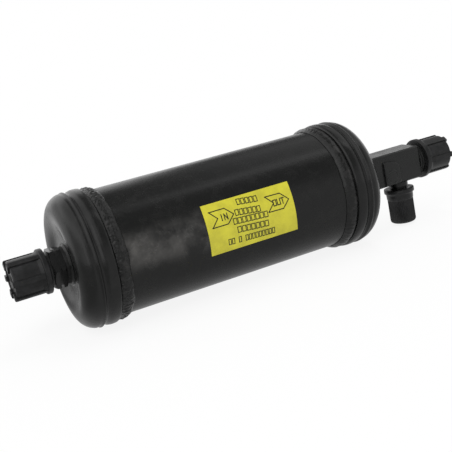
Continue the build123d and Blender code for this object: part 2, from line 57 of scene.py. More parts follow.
Point = Tuple[float, float, float]
Colour = Tuple[float, float, float]
Span = Tuple[float, float]
Row = Tuple[float, float, float]
Profile = Tuple[Span, ...]
Faces = List[Tuple[int, ...]]


# --- shader maths


class Value:
    """A shader socket that grows Math nodes when it is used in an expression."""

    def __init__(self, graph: "Graph", socket: Any) -> None:
        """Wrap one output socket of a graph."""
        self.graph = graph
        self.socket = socket

    def __add__(self, other: "Number") -> "Value":
        """Return self + other."""
        return self.graph.math("ADD", self, other)

    def __radd__(self, other: "Number") -> "Value":
        """Return other + self."""
        return self.graph.math("ADD", other, self)

    def __sub__(self, other: "Number") -> "Value":
        """Return self - other."""
        return self.graph.math("SUBTRACT", self, other)

    def __rsub__(self, other: "Number") -> "Value":
        """Return other - self."""
        return self.graph.math("SUBTRACT", other, self)

    def __mul__(self, other: "Number") -> "Value":
        """Return self * other."""
        return self.graph.math("MULTIPLY", self, other)

    def __rmul__(self, other: "Number") -> "Value":
        """Return other * self."""
        return self.graph.math("MULTIPLY", other, self)

    def __neg__(self) -> "Value":
        """Return -self."""
        return self.graph.math("MULTIPLY", self, -1.0)


Number = Union[Value, float, int]


@dataclass(frozen=True)
class Grain:
    """Noise about 0.5: its features' size in millimetres, its octaves and the finer ones' share."""

    size: float
    detail: float = 2.0
    rough: float = 0.5


class Graph:
    """The node tree of one material."""

    MIX_FACTOR, MIX_FIRST, MIX_SECOND, MIX_COLOUR = 0, 6, 7, 2

    def __init__(self, name: str, tree: Optional[Any] = None) -> None:
        """Start an empty material, or take over another node tree.

        Args:
            name: the material's name.
            tree: a node tree to fill instead, such as the world's.
        """
        self.material = None
        if tree is None:
            self.material = bpy.data.materials.new(name)
            self.material.use_nodes = True
            tree = self.material.node_tree
        self.tree = tree
        self.tree.nodes.clear()

    def put(self, kind: str, settings: Optional[Dict[str, Any]] = None, **inputs: Any) -> Any:
        """Add a node, set its settings, then its sockets.

        Args:
            kind: the node's type name, such as ShaderNodeTexNoise.
            settings: node properties, set before the sockets.
            **inputs: socket names with underscores for spaces, to values or links.

        Returns:
            The node.
        """
        node = self.tree.nodes.new(kind)
        for key, value in (settings or {}).items():
            setattr(node, key, value)
        for key, value in inputs.items():
            self.feed(node.inputs[key.replace("_", " ")], value)
        return node

    def feed(self, socket: Any, value: Any) -> None:
        """Link or set one socket.

        Args:
            socket: the input socket.
            value: a Value, a number, a tuple or an output socket.
        """
        value = value.socket if isinstance(value, Value) else value
        if isinstance(value, bpy.types.NodeSocket):
            self.tree.links.new(value, socket)
        elif isinstance(value, (tuple, list)) and len(value) == 3 and socket.type == "RGBA":
            socket.default_value = (*value, 1.0)
        else:
            socket.default_value = value

    def math(self, operation: str, first: Number, second: Number) -> Value:
        """Add one Math node.

        Args:
            operation: the Math node's operation.
            first: first value.
            second: second value.

        Returns:
            The result.
        """
        node = self.put("ShaderNodeMath", {"operation": operation})
        self.feed(node.inputs[0], first)
        self.feed(node.inputs[1], second)
        return Value(self, node.outputs[0])

    def clamp(self, value: Value) -> Value:
        """Return the value held between 0 and 1."""
        return self.math("MINIMUM", self.math("MAXIMUM", value, 0.0), 1.0)

    def step(self, value: Value, span: Span) -> Value:
        """Return 0 where the value is below the span, 1 above it, and a smooth step between."""
        node = self.put("ShaderNodeMapRange", {"interpolation_type": "SMOOTHSTEP"}, Value=value,
                        From_Min=span[0], From_Max=span[1])
        return Value(self, node.outputs["Result"])

    def band(self, value: Value, rise: Span, fall: Span) -> Value:
        """Return 1 between a smooth rise and a smooth fall, and 0 outside them."""
        return self.step(value, rise) * (1 - self.step(value, fall))

    def place(self) -> Any:
        """Return the object-space vector in millimetres."""
        coords = self.put("ShaderNodeTexCoord")
        scaled = self.put("ShaderNodeVectorMath", {"operation": "SCALE"}, Vector=coords.outputs["Object"],
                          Scale=1.0 / MM)
        return scaled.outputs[0]

    def axes(self, vector: Any) -> List[Value]:
        """Return the X, Y and Z of a vector."""
        parts = self.put("ShaderNodeSeparateXYZ", Vector=vector)
        return [Value(self, output) for output in parts.outputs]

    def vector(self, x: Number, y: Number, z: Number) -> Any:
        """Return a vector made of three values."""
        return self.put("ShaderNodeCombineXYZ", X=x, Y=y, Z=z).outputs[0]

    def noise(self, where: Any, grain: Grain) -> Value:
        """Return noise about 0.5 over a vector in millimetres."""
        node = self.put("ShaderNodeTexNoise", Vector=where, Scale=1.0 / grain.size, Detail=grain.detail,
                        Roughness=grain.rough)
        return Value(self, node.outputs["Fac"])

    def blend(self, mask: Number, first: Any, second: Any) -> Any:
        """Mix two colours.

        Args:
            mask: 0 gives the first, 1 the second.
            first: a colour or link.
            second: a colour or link.

        Returns:
            The colour's output socket.
        """
        node = self.put("ShaderNodeMix", {"data_type": "RGBA"})
        self.feed(node.inputs[self.MIX_FACTOR], mask)
        self.feed(node.inputs[self.MIX_FIRST], first)
        self.feed(node.inputs[self.MIX_SECOND], second)
        return node.outputs[self.MIX_COLOUR]

    def bump(self, height: Value, depth: float, before: Optional[Any] = None) -> Any:
        """Turn a height into a normal.

        Args:
            height: the height, 0 to 1.
            depth: how deep a height of 1 is, in millimetres.
            before: a normal to build on.

        Returns:
            The normal's output socket.
        """
        node = self.put("ShaderNodeBump", Height=height, Distance=depth * MM, Strength=1.0)
        if before is not None:
            self.feed(node.inputs["Normal"], before)
        return node.outputs["Normal"]

    def surface(self, colour: Any, rough: Any, normal: Any = None, **fixed: Any) -> Any:
        """Finish the material with one Principled shader.

        Args:
            colour: Base Color, a colour or a link.
            rough: Roughness, a number or a link.
            normal: a normal to link, if any.
            **fixed: other sockets, set as constants or linked.

        Returns:
            The material.
        """
        shader = self.put("ShaderNodeBsdfPrincipled", Base_Color=colour, Roughness=rough, **fixed)
        if normal is not None:
            self.feed(shader.inputs["Normal"], normal)
        self.put("ShaderNodeOutputMaterial", Surface=shader.outputs[0])
        return self.material


# --- finishes


@dataclass(frozen=True)
class BlackPaint:
    """Semi-gloss black paint over drawn steel, with or without a lighter mottled patch on the front."""

    name: str = "black_paint"
    base: Colour = (0.0075, 0.0078, 0.0076)
    worn: Colour = (0.030, 0.0295, 0.0285)
    rough: float = 0.24
    peel: float = 0.05
    draw: float = 0.03
    fine: Grain = Grain(1.6)
    broad: Grain = Grain(26.0, 3.0, 0.6)
    drawn: Grain = Grain(2.2, 3.0, 0.55)
    drawn_stretch: float = 0.06
    mottle: Grain = Grain(7.0, 4.0, 0.65)
    mottle_span: Span = (0.46, 0.66)
    dust: Grain = Grain(0.55, 1.0)
    dust_span: Span = (0.70, 0.80)
    patch: bool = False
    patch_along: Tuple[Span, Span] = ((-84.0, -66.0), (-27.0, -8.0))
    patch_around: Tuple[Span, Span] = ((-11.0, 3.0), (8.5, 19.0))
    patch_front: Span = (20.0, 30.0)
    # colour of the lighter mottled patch on the tube's front, left of the label
    patch_tint: Colour = (0.085, 0.082, 0.078)
    patch_mottle: Grain = Grain(16.0, 4.0, 0.6)
    patch_mottle_span: Span = (0.30, 0.72)

    def make(self) -> Any:
        """Build the material.

        Returns:
            The material.
        """
        g = Graph(self.name)
        where = g.place()
        x, y, z = g.axes(where)
        broad = g.noise(where, self.broad)
        drawn = g.noise(g.vector(x * self.drawn_stretch, y, z), self.drawn)
        mottle = g.step(g.noise(where, self.mottle), self.mottle_span)
        dust = g.step(g.noise(where, self.dust), self.dust_span)
        haze = mottle * 0.10 + broad * 0.12 + dust * 0.25
        colour = g.blend(g.clamp(haze), self.base, self.worn)
        # lightens a mottled patch on the tube's front, left of the label
        if self.patch:
            reach = g.band(x, *self.patch_along)
            reach = reach * (g.band(z, *self.patch_around) * g.step(-y, self.patch_front))
            patch_mottle = g.step(g.noise(where, self.patch_mottle), self.patch_mottle_span) * 0.75 + mottle * 0.25
            colour = g.blend(reach * patch_mottle, colour, self.patch_tint)
        rough = g.clamp(self.rough + (broad - 0.5) * 0.12 + mottle * 0.05 + (drawn - 0.5) * 0.05)
        peel = g.bump(g.noise(where, self.fine), self.peel)
        return g.surface(colour, rough, g.bump(drawn, self.draw, peel))


@dataclass(frozen=True)
class MottledFinish:
    """A finish with a mottled colour, a varying roughness and a fine grain."""

    name: str
    base: Colour
    tint: Colour
    rough: float
    swing: float = 0.15
    cloud: Grain = Grain(8.0, 3.0, 0.6)
    cloud_span: Span = (0.3, 0.7)
    grain: Grain = Grain(2.0)
    depth: float = 0.03
    metallic: float = 0.0

    def make(self) -> Any:
        """Build the material.

        Returns:
            The material.
        """
        g = Graph(self.name)
        where = g.place()
        cloud = g.noise(where, self.cloud)
        colour = g.blend(g.step(cloud, self.cloud_span), self.base, self.tint)
        rough = g.clamp(self.rough + (cloud - 0.5) * self.swing)
        normal = g.bump(g.noise(where, self.grain), self.depth)
        return g.surface(colour, rough, normal, Metallic=self.metallic)


@dataclass(frozen=True)
class WeldPaint(MottledFinish):
    """Glossy paint flowed over a rippled weld bead."""

    name: str = "black_paint_weld"
    base: Colour = (0.009, 0.0092, 0.009)
    tint: Colour = (0.022, 0.0215, 0.021)
    rough: float = 0.26
    swing: float = 0.2
    cloud: Grain = Grain(4.5)
    cloud_span: Span = (0.5, 0.75)
    grain: Grain = Grain(1.3, 3.0, 0.55)
    depth: float = 0.06


@dataclass(frozen=True)
class CapPlastic(MottledFinish):
    """Moulded black polyethylene with a soft sheen."""

    name: str = "black_plastic"
    base: Colour = (0.010, 0.0102, 0.0103)
    tint: Colour = (0.022, 0.022, 0.023)
    rough: float = 0.36
    swing: float = 0.2
    cloud: Grain = Grain(6.0, 3.0, 0.6)
    cloud_span: Span = (0.35, 0.8)
    grain: Grain = Grain(0.5, 1.0)
    depth: float = 0.02


@dataclass(frozen=True)
class LabelFilm(MottledFinish):
    """Yellow film label with a thin satin varnish."""

    name: str = "label_film"
    base: Colour = (0.63, 0.585, 0.036)
    tint: Colour = (0.50, 0.46, 0.03)
    rough: float = 0.42
    cloud: Grain = Grain(9.0, 3.0, 0.6)
    cloud_span: Span = (0.3, 0.75)
    grain: Grain = Grain(0.7)
    depth: float = 0.012


@dataclass(frozen=True)
class PrintInk:
    """Dark printing ink on the label, thin in places."""

    name: str = "label_ink"
    base: Colour = (0.014, 0.014, 0.010)
    film: Colour = (0.07, 0.065, 0.025)
    rough: float = 0.4
    swing: float = 0.2
    thin: Grain = Grain(1.1, 3.0, 0.6)
    thin_span: Span = (0.55, 0.85)
    thin_share: float = 0.5

    def make(self) -> Any:
        """Build the material.

        Returns:
            The material.
        """
        g = Graph(self.name)
        thin = g.step(g.noise(g.place(), self.thin), self.thin_span)
        colour = g.blend(thin * self.thin_share, self.base, self.film)
        return g.surface(colour, g.clamp(self.rough + thin * self.swing))


class Finishes:
    """Every material of the drier, made once."""

    def __init__(self) -> None:
        """Build all the materials."""
        self.shell = BlackPaint("shell_paint", patch=True).make()
        self.head = BlackPaint("head_paint", rough=0.22, draw=0.015).make()
        self.weld = WeldPaint().make()
        self.block = BlackPaint("block_paint", base=(0.014, 0.0146, 0.0143), rough=0.27, peel=0.02,
                                draw=0.01).make()
        self.fitting = BlackPaint("fitting_paint", base=(0.010, 0.0103, 0.0102), rough=0.20, peel=0.01,
                                  draw=0.005).make()
        self.plastic = CapPlastic().make()
        self.rubber = MottledFinish("seal_rubber", (0.012, 0.012, 0.012), (0.02, 0.02, 0.02), 0.6).make()
        self.brass = MottledFinish("core_brass", (0.60, 0.45, 0.20), (0.45, 0.32, 0.14), 0.3,
                                   **self.speckles(0.6, 0.02, 1.0)).make()
        self.spring = MottledFinish("spring_steel", (0.42, 0.42, 0.43), (0.30, 0.30, 0.31), 0.35,
                                    **self.speckles(0.8, 0.02, 1.0)).make()
        self.plate = MottledFinish("plate_steel", (0.50, 0.50, 0.51), (0.40, 0.40, 0.41), 0.4,
                                   **self.speckles(1.0, 0.02, 1.0)).make()
        self.bed = MottledFinish("desiccant_beads", (0.72, 0.66, 0.55), (0.60, 0.52, 0.40), 0.8,
                                 **self.speckles(1.6, 0.6)).make()
        self.felt = MottledFinish("filter_felt", (0.80, 0.79, 0.75), (0.66, 0.65, 0.60), 0.9,
                                  **self.speckles(0.6, 0.3)).make()
        self.film = LabelFilm().make()
        self.ink = PrintInk().make()

    @staticmethod
    def speckles(size: float, depth: float, metallic: float = 0.0) -> Dict[str, Any]:
        """Return the fields of a finish with grain of one size and clouds four times as large."""
        return {"cloud": Grain(size * 4, 3.0, 0.6), "grain": Grain(size), "depth": depth,
                "metallic": metallic}


# --- mesh helpers


def new_piece(name: str, verts: Sequence[Point], faces: Sequence[Sequence[int]], material: Any,
              smooth: bool = True) -> Any:
    """Make a mesh object from points in millimetres.

    Args:
        name: the object's name.
        verts: points, in millimetres.
        faces: indices of each face.
        material: the material.
        smooth: whether the faces shade smoothly.

    Returns:
        The object.
    """
    mesh = bpy.data.meshes.new(name)
    mesh.from_pydata([(x * MM, y * MM, z * MM) for x, y, z in verts], [], faces)
    mesh.validate()
    book = bmesh.new()
    book.from_mesh(mesh)
    bmesh.ops.recalc_face_normals(book, faces=book.faces)
    book.to_mesh(mesh)
    book.free()
    for face in mesh.polygons:
        face.use_smooth = smooth
    mesh.materials.append(material)
    piece = bpy.data.objects.new(name, mesh)
    bpy.context.scene.collection.objects.link(piece)
    return piece


def circle(count: int) -> List[float]:
    """Return the angles of a count of even steps round a circle, in radians."""
    return [2 * math.pi * i / count for i in range(count)]


def across(axis: Vector) -> Tuple[Vector, Vector]:
    """Return two unit directions square to an axis and to each other."""
    side = Vector((0.0, 0.0, 1.0)) if abs(axis.z) < 0.5 else Vector((1.0, 0.0, 0.0))
    return side, axis.cross(side)


def ring_faces(rows: int, columns: int, close_rows: bool = False) -> Faces:
    """List the faces of a grid that closes on itself along its columns.

    Args:
        rows: how many rows of points.
        columns: how many points in a row.
        close_rows: whether the last row joins the first.

    Returns:
        The faces.
    """
    faces: Faces = []
    for i in range(rows if close_rows else rows - 1):
        here, there = i * columns, ((i + 1) % rows) * columns
        for j in range(columns):
            k = (j + 1) % columns
            faces.append((here + j, here + k, there + k, there + j))
    return faces


def fan_faces(rows: int, columns: int) -> Faces:
    """List the triangles that close a grid's first and last row on two hubs that follow it.

    Args:
        rows: how many rows of points.
        columns: how many points in a row.

    Returns:
        The faces.
    """
    last, hub = (rows - 1) * columns, rows * columns
    faces: Faces = []
    for j in range(columns):
        k = (j + 1) % columns
        faces += [(hub, k, j), (hub + 1, last + j, last + k)]
    return faces


class Side(Enum):
    """Which end of the shell a piece belongs to."""

    INLET = -1
    OUTLET = 1


def turned(name: str, centre: Point, axis: Point, profile: Sequence[Span], material: Any,
           columns: int = 180, closed: bool = False) -> Any:
    """Make a turned piece from its profile.

    Args:
        name: the piece's name.
        centre: a point on its axis, in millimetres.
        axis: unit direction that stations run along.
        profile: station and radius of each row.
        material: the material.
        columns: how many points in a row.
        closed: whether the last row joins the first, as in a ring.

    Returns:
        The object.
    """
    along = Vector(axis)
    side, other = across(along)
    verts: List[Point] = []
    for station, radius in profile:
        for angle in circle(columns):
            out = (side * math.cos(angle) + other * math.sin(angle)) * radius
            verts.append((Vector(centre) + along * station + out)[:])
    faces = ring_faces(len(profile), columns, closed)
    if not closed:
        last = (len(profile) - 1) * columns
        faces += [tuple(range(columns)), tuple(range(last, last + columns))]
    return new_piece(name, verts, faces, material)


def curve(p: float, q: float, r: float, w: float, t: float) -> float:
    """Return the Catmull-Rom curve through q and r at share t, with p and w as neighbours."""
    bend, twist = 2 * p - 5 * q + 4 * r - w, 3 * q - p - 3 * r + w
    return 0.5 * (2 * q + (r - p) * t + bend * t * t + twist * t ** 3)


def soften(points: Sequence[Span], steps: int = 5) -> List[Span]:
    """Draw a smooth curve through the points of a profile.

    Args:
        points: station and radius of each point.
        steps: how many rows between two points.

    Returns:
        The rows.
    """
    ends = [points[0], *points, points[-1]]
    rows = []
    for a, b, c, d in zip(ends, ends[1:], ends[2:], ends[3:]):
        for i in range(steps):
            rows.append(tuple(curve(*near, i / steps) for near in zip(a, b, c, d)))
    return rows + [points[-1]]


# --- drawn heads


@dataclass
class DrawnHead:
    """A drawn head with its rolled lip, groove, ridge, knuckle and dish.

    Stations run along the shell's axis from its middle, towards the head.
    """

    side: Side
    finish: Any
    mouth: float = 79.2
    bore: float = 38.15
    stop: float = 84.05
    lip: Profile = (
        (79.25, 39.2), (79.45, 40.0), (80.1, 40.65), (81.2, 40.92), (82.7, 41.0), (84.2, 40.9),
        (85.4, 40.62), (86.4, 40.15), (87.3, 39.82), (88.0, 39.84), (88.7, 40.25), (89.2, 40.72),
        (89.65, 40.93), (90.1, 40.74), (90.6, 40.42), (91.3, 40.26))
    knuckle_station: float = 89.8
    knuckle_centre: float = 30.2
    knuckle_radius: float = 10.4
    knuckle_start: float = 10.5
    wall: float = 3.0
    dish: float = 3.0
    floor_radius: float = 14.0
    hole_radius: float = 9.65
    outer_rows: int = 28
    inner_rows: int = 10
    dish_rows: int = 24
    columns: int = 240

    def dished(self, start: float, depth: float) -> List[Span]:
        """Return the rows of the dish from its crest to its flat floor.

        Args:
            start: station of the crest.
            depth: how far the floor lies behind it.

        Returns:
            The rows.
        """
        reach = self.floor_radius - self.knuckle_centre
        rows = []
        for i in range(self.dish_rows + 1):
            share = i / self.dish_rows
            drop = 0.5 - 0.5 * math.cos(math.pi * share)
            rows.append((start - depth * drop, self.knuckle_centre + reach * share))
        return rows

    def knuckle(self, radius: float, degrees: float) -> Span:
        """Return one point of the knuckle, at a radius and an angle from the skirt."""
        turn = math.radians(degrees)
        return self.knuckle_station + radius * math.sin(turn), self.knuckle_centre + radius * math.cos(turn)

    def profile(self) -> List[Span]:
        """Return the closed section, out along the outside and back along the inside."""
        crest = self.knuckle_station + self.knuckle_radius
        sweep = 90.0 - self.knuckle_start
        rows = soften(self.lip)
        for i in range(1, self.outer_rows + 1):
            rows.append(self.knuckle(self.knuckle_radius, self.knuckle_start + sweep * i / self.outer_rows))
        rows += self.dished(crest, self.dish)[1:]
        rows += [(crest - self.dish, self.hole_radius), (crest - self.dish - self.wall, self.hole_radius)]
        rows += self.dished(crest - self.wall, self.dish)[::-1]
        small = self.knuckle_radius - self.wall
        for i in range(1, self.inner_rows + 1):
            rows.append(self.knuckle(small, 90.0 - 90.0 * i / self.inner_rows))
        rows.append((self.stop, self.knuckle_centre + small))
        return rows + [(self.stop, self.bore), (self.mouth, self.bore)]

    def build(self) -> Any:
        """Make the head and let it stand for the plain one.

        Returns:
            The piece.
        """
        name = self.side.name.lower() + "_head"
        piece = turned(name + "_drawn", (0.0, 0.0, 0.0), (float(self.side.value), 0.0, 0.0), self.profile(),
                       self.finish, self.columns, True)
        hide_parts(name)
        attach(piece, "vessel")
        return piece


# --- block pad and cap ends


@dataclass
class BlockPad:
    """The raised pad on the block's front with the ring of its plug.

    Corners are X and Z, and rounding and ring are given from the pad's face.
    """

    finish: Any
    corners: Profile = ((121.35, -10.1), (121.35, 6.2), (130.95, 5.0), (133.95, 2.0), (133.95, -10.1))
    foot: float = -9.6
    face: float = -10.75
    round_off: float = 1.9
    rounding: Profile = ((1.9, 0.6), (1.8, 0.36), (1.5, 0.16), (1.1, 0.05), (0.6, 0.01), (0.1, 0.0))
    corner_points: int = 7
    plug: Span = (126.9, -4.8)
    ring: Profile = (
        (-0.6, 5.1), (0.02, 5.05), (0.12, 4.85), (0.30, 4.6), (0.34, 4.3), (0.26, 4.0),
        (0.06, 3.75), (0.04, 3.5), (0.16, 3.1), (0.22, 2.2), (0.24, 0.02))
    ring_steps: int = 3
    ring_columns: int = 72

    def core(self) -> List[Span]:
        """Return the outline moved inwards by the rounding.

        Returns:
            Its corners.
        """
        lines = []
        for (x0, z0), (x1, z1) in zip(self.corners, self.corners[1:] + self.corners[:1]):
            length = math.hypot(x1 - x0, z1 - z0)
            nx, nz = (z1 - z0) / length, -(x1 - x0) / length
            lines.append((nx, nz, nx * x0 + nz * z0 + self.round_off))
        spots = []
        for (a, b, c), (d, e, f) in zip(lines[-1:] + lines[:-1], lines):
            under = a * e - b * d
            spots.append(((c * e - b * f) / under, (a * f - c * d) / under))
        return spots

    def rounded(self, spots: Sequence[Span], reach: float, level: float) -> List[Point]:
        """Return one row of points round the pad.

        Args:
            spots: the corners' centres.
            reach: how far the row stands out from them.
            level: its Y.

        Returns:
            The points.
        """
        verts = []
        for i, (x, z) in enumerate(spots):
            before, after = spots[i - 1], spots[(i + 1) % len(spots)]
            start = math.atan2(z - before[1], x - before[0]) + math.pi / 2
            turn = math.atan2(after[1] - z, after[0] - x) + math.pi / 2 - start
            turn = (turn + math.pi) % (2 * math.pi) - math.pi
            for j in range(self.corner_points):
                angle = start + turn * j / (self.corner_points - 1)
                verts.append((x + reach * math.cos(angle), level, z + reach * math.sin(angle)))
        return verts

    def build(self) -> List[Any]:
        """Make the pad and the ring.

        Returns:
            The pieces.
        """
        spots = self.core()
        rows = [(self.round_off, self.foot)] + [(reach, self.face + sink) for reach, sink in self.rounding]
        verts = [vert for reach, level in rows for vert in self.rounded(spots, reach, level)]
        middle = (sum(x for x, _ in spots) / len(spots), sum(z for _, z in spots) / len(spots))
        verts += [(middle[0], self.foot, middle[1]), (middle[0], self.face, middle[1])]
        columns = self.corner_points * len(spots)
        faces = ring_faces(len(rows), columns) + fan_faces(len(rows), columns)
        pad = new_piece("block_pad_rounded", verts, faces, self.finish)
        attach(pad, "vessel")
        ring = soften([(rise - self.face, radius) for rise, radius in self.ring], self.ring_steps)
        plug = turned("block_plug_ring", (self.plug[0], 0.0, self.plug[1]), (0.0, -1.0, 0.0), ring,
                      self.finish, self.ring_columns)
        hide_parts("block_plug")
        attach(plug, "vessel")
        return [pad, plug]


@dataclass
class CapEnd:
    """The moulded end of a dust cap: a shallow dish with a dimple, its stations from the mouth."""

    side: Side
    finish: Any
    mouth: float
    profile: Profile = (
        (18.3, 8.75), (19.9, 8.72), (20.35, 8.3), (20.55, 7.2), (20.5, 5.4),
        (20.35, 3.2), (20.1, 2.3), (19.6, 1.9), (19.3, 1.4), (19.25, 0.02))
    steps: int = 4
    columns: int = 96

    def build(self) -> Any:
        """Make the end.

        Returns:
            The piece.
        """
        name = self.side.name.lower() + "_cap"
        piece = turned(name + "_end", (self.side.value * self.mouth, 0.0, 0.0),
                       (float(self.side.value), 0.0, 0.0), soften(self.profile, self.steps), self.finish,
                       self.columns)
        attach(piece, name)
        return piece


# --- seam welds


@dataclass
class SeamWeld:
    """A hand-laid bead that joins the tube to a head's lip, from its toe to its heel.

    A wave round the ring has its scale, which noise it is and its size.
    """

    side: Side
    finish: Any
    toe: float = 71.3
    heel: float = 79.14
    foot_radius: float = 38.12
    crest_height: float = 2.25
    most_height: float = 2.42
    crown_share: float = 0.86
    crown_power: float = 0.75
    ripples: int = 74
    ripple_depth: float = 0.3
    ripple_lean: float = 2.4
    ripple_least: float = 0.15
    lump_depth: float = 0.3
    lump_along: float = 0.55
    lump_round: float = 26.0
    lump_finer: float = 2.1
    toe_wander: float = 0.5
    toe_waves: Tuple[Row, Row] = ((3.0, 1.0, 1.0), (11.0, 2.0, 0.35))
    phase_wave: Row = (9.0, 3.0, 1.6)
    swell_waves: Tuple[Row, Row] = ((4.0, 4.0, 0.09), (15.0, 5.0, 0.05))
    patch_wave: Row = (6.0, 6.0, 0.85)
    columns: int = 1184
    rows: int = 28
    seed: float = 0.0

    def wobble(self, angle: float, wave: Row) -> float:
        """Return a wave's height at an angle round the ring, in radians."""
        scale, shift, size = wave
        spot = Vector((math.cos(angle) * scale, math.sin(angle) * scale, shift + self.seed))
        return size * (noise.noise(spot) * 1.6)

    def lumps(self, station: float, angle: float) -> float:
        """Return how deep the fine lumps sink at one point, in millimetres."""
        spot = Vector((station * self.lump_along, math.cos(angle) * self.lump_round,
                       math.sin(angle) * self.lump_round + self.seed))
        return self.lump_depth * (0.5 + noise.noise(spot) + 0.5 * noise.noise(spot * self.lump_finer))

    def radius(self, share: float, angle: float) -> Span:
        """Return the station and radius of one point of the bead.

        Args:
            share: 0 at the toe, 1 at the heel.
            angle: angle round the ring.

        Returns:
            Station and radius, in millimetres.
        """
        toe = self.toe + self.toe_wander * sum(self.wobble(angle, wave) for wave in self.toe_waves)
        station = toe + (self.heel - toe) * share
        crown = math.sin(math.pi * min(1.0, share * self.crown_share)) ** self.crown_power
        lean = self.ripple_lean * (1.0 - (2.0 * share - 1.0) ** 2)
        crest = math.sin(self.ripples * angle + lean + self.wobble(angle, self.phase_wave))
        patchy = max(0.0, self.ripple_least + self.wobble(angle, self.patch_wave))
        ripple = (0.5 + 0.5 * crest) ** 2 * self.ripple_depth * patchy + self.lumps(station, angle)
        swell = sum((self.wobble(angle, wave) for wave in self.swell_waves), 1.0)
        height = self.crest_height * crown * swell - ripple * crown
        return station, self.foot_radius + max(0.0, min(height, self.most_height))

    def build(self) -> Any:
        """Make the bead and let it stand for the plain one.

        Returns:
            The piece.
        """
        way = self.side.value
        verts: List[Point] = []
        for i in range(self.rows):
            for angle in circle(self.columns):
                station, radius = self.radius(i / (self.rows - 1), angle)
                verts.append((way * station, radius * math.cos(angle), radius * math.sin(angle)))
        for angle in circle(self.columns):
            verts.append((way * self.heel, self.foot_radius * math.cos(angle),
                          self.foot_radius * math.sin(angle)))
        faces = ring_faces(self.rows + 1, self.columns, close_rows=True)
        name = self.side.name.lower() + "_seam_weld"
        piece = new_piece(name + "_bead", verts, faces, self.finish)
        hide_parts(name)
        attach(piece, "vessel")
        return piece


# --- label print


Stroke = Tuple[float, float, float, float]


